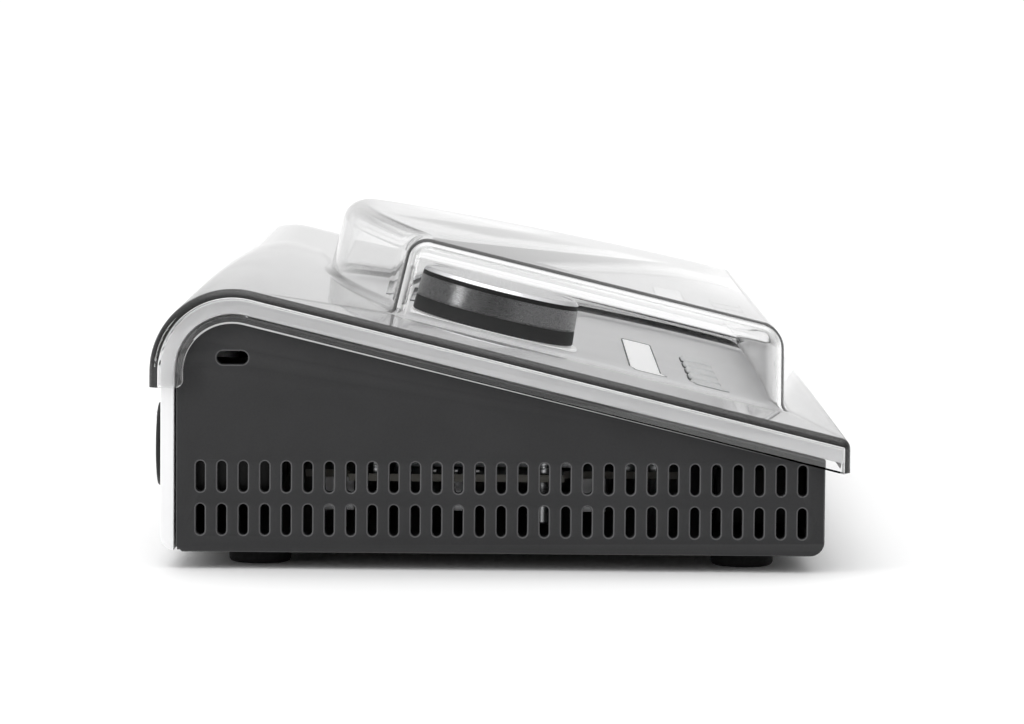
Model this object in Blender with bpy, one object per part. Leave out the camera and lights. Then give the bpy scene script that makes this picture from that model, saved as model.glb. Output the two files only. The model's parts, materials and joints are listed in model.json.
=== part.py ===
"""Desktop audio interface under its clear dust cover.

A wedge-shaped desktop unit: a bent light-metal wrap forms the sloped control panel and the
rear wall, a dark chassis closes the sides, front and underside, and a clear moulded shell
drops over the panel.  All sizes below are in millimetres and become metres when the meshes
are made.  Two empties carry the pieces: case_frame (z up from the chassis underside) and
panel_frame (x along the width, y up the slope, z out of the panel).
"""
import math

import bmesh
import bpy

MM = 0.001
GAP = 0.3                              # clearance between pieces that touch

# case
HALF_WIDTH = 140.0
PANEL_Z = 42.17                        # panel surface above the underside, at y = 0
SLOPE = math.radians(13.56)
FRONT_Y = -75.3
REAR_Y = 75.6
BEND_R = 16.0                          # outer radius where the panel turns into the rear wall
WRAP_THICK = 3.0
SIDE_FACE_X = 139.4                    # outer face of the side panels, just inside the wrap's edge
SIDE_THICK = 3.6
CHASSIS_FRONT_Y = -71.8
CHASSIS_THICK = 2.4
FOOT_HEIGHT = 3.8
FOOT_R = 7.0
FOOT_X = 123.0
FOOT_Y = 54.3
FRAME_SHIFT_Y = -0.45                  # puts the origin under the middle of the whole outline

# side vents and the security slot
VENT_COUNT = 29
VENT_PITCH = 4.77
VENT_WIDTH = 2.0
VENT_HEIGHT = 6.9
VENT_ROWS = (7.27, 16.85)
LOCK_SLOT = (59.75, 43.25, 7.0, 3.0)   # centre y, centre z, length, height

# controls, in the panel frame
KNOB_X, KNOB_V = -55.0, 3.4
KNOB_R, KNOB_TOP_R = 19.9, 19.1
KNOB_LOW, KNOB_HIGH = 1.7, 12.2
RING_R, RING_BORE_R, RING_TOP, RING_DEPTH = 21.2, 14.0, 1.4, 1.2
SHAFT_R = 2.6
BUSH_R = 3.9
OPTION_V = -50.0
OPTION_XS = tuple(-76.0 + 17.5 * i for i in range(6))
OPTION_SIZE = (13.0, 7.6)
ROUND_BUTTON_R = 4.8
ROUND_BUTTON_XS = {"input_button": KNOB_X - 29.0, "monitor_button": KNOB_X + 29.0}
DISPLAY = (9.0, 13.5, 46.0, 31.0)      # centre x, centre v, width, depth
INDICATOR = (-25.0, -35.0, 118.0, 7.2)

# connectors: x positions along the rear wall and the front panel
COMBO_XS = tuple(-122.0 + 28.0 * i for i in range(4))
COMBO_Z, COMBO_NOSE_R, COMBO_BODY = 22.4, 9.4, 24.0
LINE_XS = tuple(-14.0 + 16.0 * i for i in range(4))
REAR_Z = 20.0
OPTICAL_X = 54.0
DATA_XS = (72.0, 88.0)
INLET_X = 106.0
SWITCH_X = 124.0
SWITCH_Z = 22.0
SWITCH_TILT = math.radians(8.0)
ROCKER_PIVOT_IN = 1.0                  # the rocker's pin lies this far inside the rear face
FRONT_JACKS = {"instrument_jack_1": -112.0, "instrument_jack_2": -90.0,
               "headphone_jack_1": 90.0, "headphone_jack_2": 112.0}
FRONT_JACK_Z = 11.0
JACK_NOSE_R, JACK_BODY = 4.6, 13.0
JACK_BORE_R = 3.3

# boards
MAIN_BOARD_Z = 15.6
BOARD_THICK = 1.6
CONTROL_BOARD_H = -7.6
STANDOFFS = tuple((x, y) for x in (-110.0, 110.0) for y in (-34.0, 38.0))

# dust cover
COVER_THICK = 1.5
COVER_GAP = 1.0                        # between the wrap and the inside of the cover
COVER_SKIRT = 5.1                      # how far the side skirt reaches below the panel surface
COVER_FRONT_Y = -77.2
COVER_FRONT_LOW = 18.9
COVER_REAR_LOW = 36.7
COVER_EDGE_R = 2.4
DOME_HALF_WIDTH = 106.0
DOME_FRONT_V, DOME_REAR_V = -65.9, 26.9
DOME_TOP = 21.0                        # outer top of the dome above the panel surface
DOME_EDGE_R = 5.0
DOME_CORNER_R = 5.0
DOME_BULGE_R = 175.0                   # plan radius of the bulge behind the controls
DOME_BULGE_X, DOME_BULGE_V = -6.0, 45.1


# ---------------------------------------------------------------- outlines

def circle(radius, count=16, centre=(0.0, 0.0)):
    step = 2 * math.pi / count
    return [(centre[0] + radius * math.cos(i * step), centre[1] + radius * math.sin(i * step))
            for i in range(count)]


def square(side, count=16):
    """A square sampled at the same angles as circle(), so that the two can be joined."""
    points = []
    for x, y in circle(1.0, count):
        scale = side / 2 / max(abs(x), abs(y))
        points.append((x * scale, y * scale))
    return points


def arc(centre, radius, start, end, steps):
    """Points on an arc; angles in degrees."""
    points = []
    for i in range(steps + 1):
        a = math.radians(start + (end - start) * i / steps)
        points.append((centre[0] + radius * math.cos(a), centre[1] + radius * math.sin(a)))
    return points


def rounded_rect(width, depth, radius, centre=(0.0, 0.0), steps=3):
    points = []
    for sx, sy, start in ((1, 1, 0), (-1, 1, 90), (-1, -1, 180), (1, -1, 270)):
        corner = (centre[0] + sx * (width / 2 - radius), centre[1] + sy * (depth / 2 - radius))
        points += arc(corner, radius, start, start + 90, steps)
    return points


def stadium(width, height, centre):
    """An upright slot with round ends."""
    r = width / 2
    low = arc((centre[0], centre[1] - height / 2 + r), r, 180, 360, 3)
    high = arc((centre[0], centre[1] + height / 2 - r), r, 0, 180, 3)
    return low + high


def inset(outline, distance):
    """A closed counter-clockwise outline moved inwards along its normals."""
    moved = []
    for i, (x, y) in enumerate(outline):
        x0, y0 = outline[i - 1]
        x1, y1 = outline[(i + 1) % len(outline)]
        length = math.hypot(x1 - x0, y1 - y0)
        moved.append((x - (y1 - y0) / length * distance, y + (x1 - x0) / length * distance))
    return moved


def panel_z(y, height=0.0):
    """Height above the underside of a line parallel to the panel surface."""
    return PANEL_Z + y * math.tan(SLOPE) + height / math.cos(SLOPE)


def wrap_path(height, front_y, rear_low, steps=9):
    """The wrap's side view, moved out by height: up the slope, round the bend, down the rear."""
    radius = BEND_R + height
    centre_y = REAR_Y - BEND_R
    centre = (centre_y, panel_z(centre_y, -BEND_R))
    path = [(front_y, panel_z(front_y, height))]
    path += arc(centre, radius, 90 + math.degrees(SLOPE), 0, steps)
    path.append((REAR_Y + height, rear_low))
    return path


# ---------------------------------------------------------------- meshes

def material(name, colour, roughness, metallic=0.0, transmission=0.0):
    mat = bpy.data.materials.new(name)
    mat.use_nodes = True
    shader = mat.node_tree.nodes["Principled BSDF"]
    shader.inputs["Base Color"].default_value = (*colour, 1.0)
    shader.inputs["Roughness"].default_value = roughness
    shader.inputs["Metallic"].default_value = metallic
    shader.inputs["Transmission Weight"].default_value = transmission
    return mat


def place(obj, parent, at=(0.0, 0.0, 0.0), turn=(0.0, 0.0, 0.0)):
    obj.parent = parent
    obj.location = [c * MM for c in at]
    obj.rotation_euler = turn
    bpy.context.collection.objects.link(obj)
    return obj


def add_loft(bm, loops, closed=False):
    """Joins loops of equal length; open lofts get flat ends."""
    rings = [[bm.verts.new([c * MM for c in p]) for p in loop] for loop in loops]
    pairs = list(zip(rings, rings[1:]))
    if closed:
        pairs.append((rings[-1], rings[0]))
    else:
        bm.faces.new(rings[0])
        bm.faces.new(rings[-1])
    for low, high in pairs:
        for i in range(len(low)):
            j = (i + 1) % len(low)
            bm.faces.new((low[i], low[j], high[j], high[i]))


def solid(name, shapes, mat, parent, at=(0.0, 0.0, 0.0), turn=(0.0, 0.0, 0.0), closed=False):
    """An object from one or more lofts; each shape is a list of loops."""
    bm = bmesh.new()
    for loops in shapes:
        add_loft(bm, loops, closed)
    bmesh.ops.recalc_face_normals(bm, faces=bm.faces)
    mesh = bpy.data.meshes.new(name)
    bm.to_mesh(mesh)
    bm.free()
    mesh.shade_smooth()
    mesh.set_sharp_from_angle(angle=math.radians(35))
    obj = bpy.data.objects.new(name, mesh)
    if mat:
        mesh.materials.append(mat)
    return place(obj, parent, at, turn)


def across(outline, x0, x1):
    """A (y, z) outline extruded from x0 to x1."""
    return [[(x, y, z) for y, z in outline] for x in (x0, x1)]


def along(outline, y0, y1):
    """An (x, z) outline extruded from y0 to y1."""
    return [[(x, y, z) for x, z in outline] for y in (y0, y1)]


def upright(outline, z0, z1):
    """An (x, y) outline extruded from z0 to z1."""
    return [[(x, y, z) for x, y in outline] for z in (z0, z1)]


def stacked(levels):
    """Loops from (outline, height) pairs, the outlines in x and y."""
    return [[(x, y, z) for x, y in outline] for outline, z in levels]


def faced_y(levels, sign):
    """Loops from (outline, depth) pairs for a connector; sign is +1 at the rear, -1 at the front."""
    return [[(x, sign * y, z) for x, z in outline] for outline, y in levels]


def rectangle(x0, x1, y0, y1):
    return [(x0, y0), (x1, y0), (x1, y1), (x0, y1)]


def combine(target, tool, operation):
    tool.hide_render = True
    tool.display_type = "WIRE"
    modifier = target.modifiers.new(tool.name, "BOOLEAN")
    modifier.operation = operation
    modifier.solver = "EXACT"
    modifier.object = tool


def empty(name, parent=None, at=(0.0, 0.0, 0.0), turn=(0.0, 0.0, 0.0)):
    return place(bpy.data.objects.new(name, None), parent, at, turn)


# ---------------------------------------------------------------- case

def top_wrap(case, panel, mat):
    """Sloped panel, bend and rear wall in one bent sheet, with its control and jack openings."""
    low_corner = arc((REAR_Y - 3.5, 3.8), 3.5, 0, -75, 3)
    outer = wrap_path(0.0, FRONT_Y, 3.8)[:-1] + low_corner
    inner = wrap_path(-WRAP_THICK, FRONT_Y, GAP)
    wrap = solid("top_wrap", [across(outer + inner[::-1], -HALF_WIDTH, HALF_WIDTH)], mat, case)

    openings = [rounded_rect(OPTION_SIZE[0] + 2 * GAP, OPTION_SIZE[1] + 2 * GAP, 1.5, (x, OPTION_V))
                for x in OPTION_XS]
    openings += [circle(ROUND_BUTTON_R + GAP, 20, (x, KNOB_V)) for x in ROUND_BUTTON_XS.values()]
    openings.append(circle(BUSH_R + GAP, 16, (KNOB_X, KNOB_V)))
    for x, v, width, depth in (DISPLAY, INDICATOR):
        openings.append(rounded_rect(width + 2 * GAP, depth + 2 * GAP, 1.3, (x, v)))
    top_cut = solid("panel_openings", [upright(o, -6.0, 4.0) for o in openings], None, panel)
    combine(wrap, top_cut, "DIFFERENCE")

    groove = [circle(RING_BORE_R - GAP, 40), circle(RING_R + GAP, 40)]
    floor, mouth = -RING_DEPTH - GAP, 2.0
    ring_cut = solid("ring_groove", [stacked([(groove[0], floor), (groove[1], floor),
                                              (groove[1], mouth), (groove[0], mouth)])],
                     None, panel, (KNOB_X, KNOB_V, 0.0), closed=True)
    combine(wrap, ring_cut, "DIFFERENCE")

    rear = [circle(COMBO_NOSE_R + GAP, 24, (x, COMBO_Z)) for x in COMBO_XS]
    rear += [circle(JACK_NOSE_R + GAP, 16, (x, REAR_Z)) for x in LINE_XS]
    rear.append(rounded_rect(11.0 + 2 * GAP, 11.0 + 2 * GAP, 1.3, (OPTICAL_X, REAR_Z)))
    rear += [rounded_rect(11.6 + 2 * GAP, 6.0 + 2 * GAP, 2.0, (x, REAR_Z)) for x in DATA_XS]
    rear.append(circle(6.0 + GAP, 20, (INLET_X, REAR_Z)))
    rear.append(rounded_rect(12.0 + 2 * GAP, 17.0 + 2 * GAP, 1.3, (SWITCH_X, SWITCH_Z)))
    rear_cut = solid("rear_openings", [along(o, REAR_Y - 6.0, REAR_Y + 3.0) for o in rear], None, case)
    combine(wrap, rear_cut, "DIFFERENCE")


def side_panel(case, side, mat):
    """Vented side wall that fits inside the wrap; the left one has the security slot."""
    top = wrap_path(-WRAP_THICK - 0.4, CHASSIS_FRONT_Y, 1.2)
    outline = [(70.8, 0.0), (-68.8, 0.0), (-70.6, 0.7), (-71.5, 3.0), (CHASSIS_FRONT_Y, 8.0)]
    outer_x, inner_x = side * SIDE_FACE_X, side * (SIDE_FACE_X - SIDE_THICK)
    name = "side_panel_left" if side < 0 else "side_panel_right"
    panel = solid(name, [across(outline + top, inner_x, outer_x)], mat, case)

    first = -VENT_PITCH * (VENT_COUNT - 1) / 2
    slots = [stadium(VENT_WIDTH, VENT_HEIGHT, (first + VENT_PITCH * i, z))
             for z in VENT_ROWS for i in range(VENT_COUNT)]
    if side < 0:
        y, z, length, height = LOCK_SLOT
        slots.append(rounded_rect(length, height, 0.6, (y, z), 2))
    cut = solid(name + "_slots", [across(s, inner_x - side, outer_x + side) for s in slots], None, case)
    combine(panel, cut, "DIFFERENCE")


def chassis(case, mat):
    """Base plate and front panel, between the two side panels."""
    half = SIDE_FACE_X - SIDE_THICK - 0.4
    front_inner = CHASSIS_FRONT_Y + 3.0
    plate = rectangle(-half, half, front_inner + GAP, REAR_Y - WRAP_THICK - 0.4)
    base = solid("base_plate", [upright(plate, 0.0, CHASSIS_THICK)], mat, case)
    holes = [stacked([(circle(3.0, 12, s), -1.0), (circle(3.0, 12, s), 1.3),
                      (circle(1.7, 12, s), 1.3), (circle(1.7, 12, s), CHASSIS_THICK + 1.0)])
             for s in STANDOFFS]
    combine(base, solid("screw_holes", holes, None, case), "DIFFERENCE")

    outline = [(front_inner, 0.0), (front_inner - 0.3, 0.0), (-70.6, 0.7), (-71.5, 3.0),
               (CHASSIS_FRONT_Y, 8.0), (CHASSIS_FRONT_Y, panel_z(CHASSIS_FRONT_Y, -WRAP_THICK - 0.4)),
               (front_inner, panel_z(front_inner, -WRAP_THICK - 0.4))]
    front = solid("front_panel", [across(outline, -half, half)], mat, case)
    bores = [along(circle(JACK_NOSE_R + GAP, 16, (x, FRONT_JACK_Z)), -80.0, -60.0)
             for x in FRONT_JACKS.values()]
    combine(front, solid("front_openings", bores, None, case), "DIFFERENCE")


def feet(case, mat):
    for name, x, y in (("foot_front_left", -FOOT_X, -FOOT_Y), ("foot_front_right", FOOT_X, -FOOT_Y),
                       ("foot_rear_left", -FOOT_X, FOOT_Y), ("foot_rear_right", FOOT_X, FOOT_Y)):
        levels = [(circle(FOOT_R - 0.8, 24), -FOOT_HEIGHT), (circle(FOOT_R, 24), -FOOT_HEIGHT + 0.8),
                  (circle(FOOT_R, 24), -GAP)]
        solid(name, [stacked(levels)], mat, case, (x, y, 0.0))


# ---------------------------------------------------------------- controls

def level_knob(panel, knob_mat, ring_mat, steel, board_mat):
    """Knob on its encoder shaft, the encoder under the panel, and the light ring round it."""
    at = (KNOB_X, KNOB_V, 0.0)
    bore = SHAFT_R + 0.35
    levels = [(bore, 9.6), (bore, KNOB_LOW), (KNOB_R - 0.6, KNOB_LOW), (KNOB_R, KNOB_LOW + 0.6),
              (KNOB_TOP_R, KNOB_HIGH - 0.9), (KNOB_TOP_R - 0.3, KNOB_HIGH - 0.3),
              (KNOB_TOP_R - 0.9, KNOB_HIGH), (KNOB_TOP_R - 1.8, KNOB_HIGH), (KNOB_TOP_R - 2.3, KNOB_HIGH - 0.4)]
    solid("level_knob", [stacked([(circle(r, 48), z) for r, z in levels])], knob_mat, panel, at)
    solid("encoder_shaft", [stacked([(circle(SHAFT_R, 16), -8.0), (circle(SHAFT_R, 16), 9.2)])],
          steel, panel, at)
    body = [(square(13.0), -12.0), (square(13.0), -WRAP_THICK - GAP), (circle(BUSH_R), -WRAP_THICK - GAP),
            (circle(BUSH_R), KNOB_LOW - 0.4), (circle(bore), KNOB_LOW - 0.4), (circle(bore), -8.6)]
    solid("encoder_body", [stacked(body)], board_mat, panel, at)
    ring = [(circle(RING_BORE_R, 40), -RING_DEPTH), (circle(RING_R, 40), -RING_DEPTH),
            (circle(RING_R, 40), RING_TOP), (circle(RING_BORE_R, 40), RING_TOP)]
    solid("light_ring", [stacked(ring)], ring_mat, panel, at, closed=True)


def button(name, panel, at, cap, flange, rim, mat):
    """A captive push button: flange under the panel, cap through it with a soft rim."""
    under, top = -WRAP_THICK - 0.4, 0.9
    levels = [(flange, under - 1.0), (flange, under), (cap, under), (cap, top - 0.4), (rim, top)]
    solid(name, [stacked(levels)], mat, panel, at)


def buttons(panel, mat):
    width, depth = OPTION_SIZE
    shapes = [rounded_rect(width + e, depth + e, r) for e, r in ((0.0, 1.2), (2.0, 1.2), (-0.8, 0.8))]
    for i, x in enumerate(OPTION_XS):
        button("option_button_%d" % (i + 1), panel, (x, OPTION_V, 0.0), *shapes, mat)
    for name, x in ROUND_BUTTON_XS.items():
        rounds = [circle(ROUND_BUTTON_R + e, 20) for e in (0.0, 1.2, -0.4)]
        button(name, panel, (x, KNOB_V, 0.0), *rounds, mat)


def windows(panel, glass, light_guide, board_mat):
    """Display lens and indicator light guide, flush in the panel, with the display module behind."""
    for name, (x, v, width, depth), mat in (("display_lens", DISPLAY, glass),
                                            ("indicator_lens", INDICATOR, light_guide)):
        solid(name, [upright(rounded_rect(width, depth, 1.0), -WRAP_THICK, 0.2)], mat, panel, (x, v, 0.0))
    x, v, width, depth = DISPLAY
    module = rounded_rect(width + 5.0, depth + 4.0, 1.0)
    solid("display_module", [upright(module, CONTROL_BOARD_H + 1.9, -WRAP_THICK - GAP)], board_mat, panel,
          (x, v, 0.0))


# ---------------------------------------------------------------- connectors

def jack(name, case, x, z, wall_y, sign, mat, nose_r, proud, body, depth, bore_r, bore_depth, count=16):
    """A panel jack: square body behind the wall, round nose through it, blind socket."""
    inside = wall_y * sign - WRAP_THICK - GAP
    face = wall_y * sign + proud
    levels = [(square(body, count), inside - depth), (square(body, count), inside),
              (circle(nose_r, count), inside), (circle(nose_r, count), face - 0.5),
              (circle(nose_r - 0.5, count), face), (circle(bore_r, count), face),
              (circle(bore_r, count), face - bore_depth)]
    solid(name, [faced_y(levels, sign)], mat, case, (x, 0.0, z))


def connectors(case, black, steel):
    for i, x in enumerate(COMBO_XS):
        jack("mic_line_jack_%d" % (i + 1), case, x, COMBO_Z, REAR_Y, 1, black, COMBO_NOSE_R, 1.7,
             COMBO_BODY, 22.0, JACK_BORE_R, 20.0, 24)
    for i, x in enumerate(LINE_XS):
        jack("line_jack_%d" % (i + 1), case, x, REAR_Z, REAR_Y, 1, black, JACK_NOSE_R, 1.5,
             JACK_BODY, 20.0, JACK_BORE_R, 19.0)
    for name, x in FRONT_JACKS.items():
        jack(name, case, x, FRONT_JACK_Z, CHASSIS_FRONT_Y, -1, black, JACK_NOSE_R, 1.5,
             JACK_BODY, 20.0, JACK_BORE_R, 19.0)
    jack("power_inlet", case, INLET_X, REAR_Z, REAR_Y, 1, black, 6.0, 1.2, 15.0, 14.0, 4.6, 9.0, 20)

    inside = REAR_Y - WRAP_THICK - GAP
    frame, door = rounded_rect(11.0, 11.0, 1.0), rounded_rect(9.4, 9.4, 0.6)
    flange = rounded_rect(13.0, 13.0, 1.0)
    levels = [(flange, inside - 12.0), (flange, inside), (frame, inside), (frame, REAR_Y + 0.6),
              (door, REAR_Y + 0.6), (door, REAR_Y - 0.6)]
    solid("optical_port", [faced_y(levels, 1)], black, case, (OPTICAL_X, 0.0, REAR_Z))
    shell, mouth = rounded_rect(11.6, 6.0, 1.8), rounded_rect(9.2, 3.4, 1.5)
    back = rounded_rect(13.2, 8.0, 1.0)
    for i, x in enumerate(DATA_XS):
        levels = [(back, inside - 8.0), (back, inside), (shell, inside), (shell, REAR_Y - 0.4),
                  (mouth, REAR_Y - 0.4), (mouth, REAR_Y - 7.0)]
        solid("data_port_%d" % (i + 1), [faced_y(levels, 1)], steel, case, (x, 0.0, REAR_Z))


def power_switch(case, black, rocker_mat):
    """Rocker switch; the rocker tips about a pin along x, and rests in its off position."""
    inside = REAR_Y - 9.0
    outer, collar, window = (rounded_rect(w, h, 1.0) for w, h in ((12.0, 17.0), (14.0, 19.0), (9.0, 13.8)))
    levels = [(outer, inside - 2.0), (outer, REAR_Y + GAP), (collar, REAR_Y + GAP), (collar, REAR_Y + 1.5),
              (window, REAR_Y + 1.5), (window, inside)]
    solid("power_switch_frame", [faced_y(levels, 1)], black, case, (SWITCH_X, 0.0, SWITCH_Z))
    outline = [(-4.0, -3.0), (0.4, -6.0), (2.2, -6.0), (1.2, 0.0), (2.2, 6.0), (0.4, 6.0), (-4.0, 3.0)]
    solid("power_rocker", [across(outline, -4.1, 4.1)], rocker_mat, case,
          (SWITCH_X, REAR_Y - ROCKER_PIVOT_IN, SWITCH_Z), (-SWITCH_TILT, 0.0, 0.0))


# ---------------------------------------------------------------- inside

def boards(case, panel, green, steel, aluminium):
    """Main board on standoffs, its heat sink, and the control board under the panel."""
    tab = [(126.0, -42.0), (126.0, -14.0), (134.6, -14.0), (134.6, 34.0), (126.0, 34.0), (126.0, 44.0)]
    outline = tab + [(-x, y) for x, y in reversed(tab)]
    solid("main_board", [upright(outline, MAIN_BOARD_Z, MAIN_BOARD_Z + BOARD_THICK)], green, case)
    control = rectangle(-95.0, 45.0, -58.0, 33.0)
    board = solid("control_board", [upright(control, CONTROL_BOARD_H, CONTROL_BOARD_H + BOARD_THICK)],
                  green, panel)
    hole = solid("encoder_hole", [upright(square(14.0), -12.0, 0.0)], None, panel, (KNOB_X, KNOB_V, 0.0))
    combine(board, hole, "DIFFERENCE")

    for i, (x, y) in enumerate(STANDOFFS):
        post = [(circle(3.4, 6), MAIN_BOARD_Z - GAP), (circle(3.4, 6), CHASSIS_THICK + GAP),
                (circle(1.7, 6), CHASSIS_THICK + GAP), (circle(1.7, 6), 9.0)]
        solid("board_standoff_%d" % (i + 1), [stacked(post)], steel, case, (x, y, 0.0))
        screw = [(circle(2.7, 12), 0.1), (circle(2.7, 12), 1.0), (circle(1.3, 12), 1.0), (circle(1.3, 12), 8.6)]
        solid("base_screw_%d" % (i + 1), [stacked(screw)], steel, case, (x, y, 0.0))

    fins, width, base_z, root_z, tip_z = 7, 34.0, MAIN_BOARD_Z + BOARD_THICK + GAP, 20.5, 26.5
    pitch = (width - 2.0) / (fins - 1)
    comb = [(width / 2, base_z)]
    for i in range(fins):
        x = width / 2 - i * pitch
        comb += [(x, tip_z), (x - 2.0, tip_z)]
        if i < fins - 1:
            comb += [(x - 2.0, root_z), (x - pitch, root_z)]
    comb.append((-width / 2, base_z))
    solid("heat_sink", [along(comb, -20.0, 20.0)], aluminium, case, (-104.0, 4.0, 0.0))


# ---------------------------------------------------------------- dust cover

def bezier(p0, p1, p2, p3, steps):
    points = []
    for i in range(steps + 1):
        t = i / steps
        k = ((1 - t) ** 3, 3 * t * (1 - t) ** 2, 3 * t * t * (1 - t), t ** 3)
        points.append(tuple(sum(w * p[a] for w, p in zip(k, (p0, p1, p2, p3))) for a in (0, 1)))
    return points


def dome_outline(height):
    """Plan of the dome at a height above the panel, counter-clockwise: upright front wall, straight
    left side, bulged and swept rear."""
    r, half, rear_v = DOME_CORNER_R, DOME_HALF_WIDTH, DOME_REAR_V
    front_v = DOME_FRONT_V + (height - COVER_GAP - COVER_THICK) * math.tan(SLOPE)
    points = arc((-half + r, front_v + r), r, 180, 270, 3)
    points += arc((half - r, front_v + r), r, 270, 360, 3)
    points += bezier((half, -52.0), (98.0, -5.0), (35.0, 36.0), (8.0, 44.6), 9)
    centre = (DOME_BULGE_X, DOME_BULGE_V - DOME_BULGE_R)
    end = 90 + math.degrees(math.acos((rear_v + 1.5 - centre[1]) / DOME_BULGE_R))
    points += arc(centre, DOME_BULGE_R, 90, end, 6)
    points.append((points[-1][0] - 7.0, rear_v))
    points += arc((-half + r, rear_v - r), r, 90, 180, 3)
    return points


def dome(name, panel, low, shrink):
    """The dome as a block, from low up to its top, smaller all round by shrink."""
    top, radius = DOME_TOP - shrink, DOME_EDGE_R - shrink
    levels = [(inset(dome_outline(low), shrink), low)]
    for angle in (0, 30, 60, 90):
        a = math.radians(angle)
        height = top - radius * (1 - math.sin(a))
        levels.append((inset(dome_outline(height), shrink + radius * (1 - math.cos(a))), height))
    return solid(name, [stacked(levels)], None, panel)


def dust_cover(case, panel, mat):
    """Clear shell that follows the wrap, with side skirts and a dome over the controls."""
    outer_x = HALF_WIDTH + COVER_GAP + COVER_THICK
    outer_h = COVER_GAP + COVER_THICK
    inner_path = wrap_path(-COVER_SKIRT, COVER_FRONT_Y + COVER_THICK, COVER_REAR_LOW)
    sections = []
    for angle in (0, 30, 60, 90):
        a = math.radians(angle)
        drop = COVER_EDGE_R * (1 - math.sin(a))
        front_y = COVER_FRONT_Y + drop
        path = wrap_path(outer_h - drop, front_y + COVER_EDGE_R, COVER_REAR_LOW)
        front = [(front_y, COVER_FRONT_LOW), (front_y + 0.2, path[0][1] - COVER_EDGE_R),
                 (front_y + 0.9, path[0][1] - 0.9)]
        sections.append((outer_x - COVER_EDGE_R * (1 - math.cos(a)), front + path + inner_path[::-1]))
    loops = [[(-x, y, z) for y, z in outline] for x, outline in sections]
    loops += [[(x, y, z) for y, z in outline] for x, outline in reversed(sections)]
    cover = solid("dust_cover", [loops], mat, case)

    combine(cover, dome("dome_outside", panel, COVER_GAP + COVER_THICK / 2, 0.0), "UNION")
    hollow = wrap_path(COVER_GAP, COVER_FRONT_Y + COVER_THICK, 0.0) + [(COVER_FRONT_Y + COVER_THICK, 0.0)]
    inner_x = HALF_WIDTH + COVER_GAP
    combine(cover, solid("cover_hollow", [across(hollow, -inner_x, inner_x)], None, case), "DIFFERENCE")
    combine(cover, dome("dome_inside", panel, COVER_GAP - 0.6, COVER_THICK), "DIFFERENCE")


def main():
    for obj in list(bpy.data.objects):
        bpy.data.objects.remove(obj, do_unlink=True)
    light_metal = material("light_metal", (0.72, 0.73, 0.74), 0.35, 1.0)
    dark_metal = material("dark_metal", (0.045, 0.045, 0.048), 0.5)
    black = material("black_plastic", (0.015, 0.015, 0.015), 0.45)
    rubber = material("rubber", (0.012, 0.012, 0.012), 0.85)
    knob_mat = material("knob_metal", (0.05, 0.05, 0.053), 0.3, 0.8)
    ring_mat = material("light_ring", (0.8, 0.82, 0.82), 0.4)
    button_mat = material("button_plastic", (0.35, 0.36, 0.37), 0.45)
    glass = material("smoked_lens", (0.02, 0.02, 0.022), 0.08)
    clear = material("clear_plastic", (0.95, 0.97, 0.98), 0.04, 0.0, 1.0)
    steel = material("steel", (0.6, 0.6, 0.61), 0.3, 1.0)
    aluminium = material("aluminium", (0.75, 0.76, 0.77), 0.35, 1.0)
    green = material("circuit_board", (0.02, 0.09, 0.05), 0.5)
    rocker = material("rocker", (0.03, 0.03, 0.03), 0.4)

    case = empty("case_frame", at=(0.0, FRAME_SHIFT_Y, FOOT_HEIGHT))
    panel = empty("panel_frame", case, (0.0, 0.0, PANEL_Z), (SLOPE, 0.0, 0.0))
    top_wrap(case, panel, light_metal)
    side_panel(case, -1, dark_metal)
    side_panel(case, 1, dark_metal)
    chassis(case, dark_metal)
    feet(case, rubber)
    level_knob(panel, knob_mat, ring_mat, steel, black)
    buttons(panel, button_mat)
    windows(panel, glass, ring_mat, black)
    connectors(case, black, steel)
    power_switch(case, black, rocker)
    boards(case, panel, green, steel, aluminium)
    dust_cover(case, panel, clear)


main()
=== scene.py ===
"""Looks for the desktop audio interface: fine surfaces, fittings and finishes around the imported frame.

Lengths are in millimetres and become metres when the meshes are made.  Outlines are drawn in two
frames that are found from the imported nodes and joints: CASE (z up from the chassis underside, y = 0
in the middle of the side panels) and PANEL (x along the width, y up the slope, z out of the panel).
"""
import json
import math

import bmesh
import bpy
from mathutils import Matrix, Vector


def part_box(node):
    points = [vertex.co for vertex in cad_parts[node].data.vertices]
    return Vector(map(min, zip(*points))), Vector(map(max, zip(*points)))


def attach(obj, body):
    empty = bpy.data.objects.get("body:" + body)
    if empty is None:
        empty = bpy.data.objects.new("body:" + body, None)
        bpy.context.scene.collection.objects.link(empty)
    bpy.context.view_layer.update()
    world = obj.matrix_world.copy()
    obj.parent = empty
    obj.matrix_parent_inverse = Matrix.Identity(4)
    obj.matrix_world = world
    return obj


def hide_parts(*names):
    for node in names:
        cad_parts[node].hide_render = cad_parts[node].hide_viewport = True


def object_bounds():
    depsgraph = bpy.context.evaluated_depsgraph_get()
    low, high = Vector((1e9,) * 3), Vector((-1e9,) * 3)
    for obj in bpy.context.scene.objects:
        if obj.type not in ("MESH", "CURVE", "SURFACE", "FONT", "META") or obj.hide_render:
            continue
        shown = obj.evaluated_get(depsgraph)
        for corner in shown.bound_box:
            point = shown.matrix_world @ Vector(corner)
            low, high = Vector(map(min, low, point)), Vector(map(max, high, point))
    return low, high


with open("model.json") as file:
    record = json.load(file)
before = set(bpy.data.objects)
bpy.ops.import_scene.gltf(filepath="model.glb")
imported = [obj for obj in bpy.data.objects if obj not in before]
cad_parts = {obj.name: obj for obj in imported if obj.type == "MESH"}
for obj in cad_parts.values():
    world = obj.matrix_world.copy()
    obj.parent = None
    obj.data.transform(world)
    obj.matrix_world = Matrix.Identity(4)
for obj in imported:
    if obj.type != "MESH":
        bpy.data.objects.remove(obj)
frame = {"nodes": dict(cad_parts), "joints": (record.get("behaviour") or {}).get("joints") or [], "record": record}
cad_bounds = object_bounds()

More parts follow.
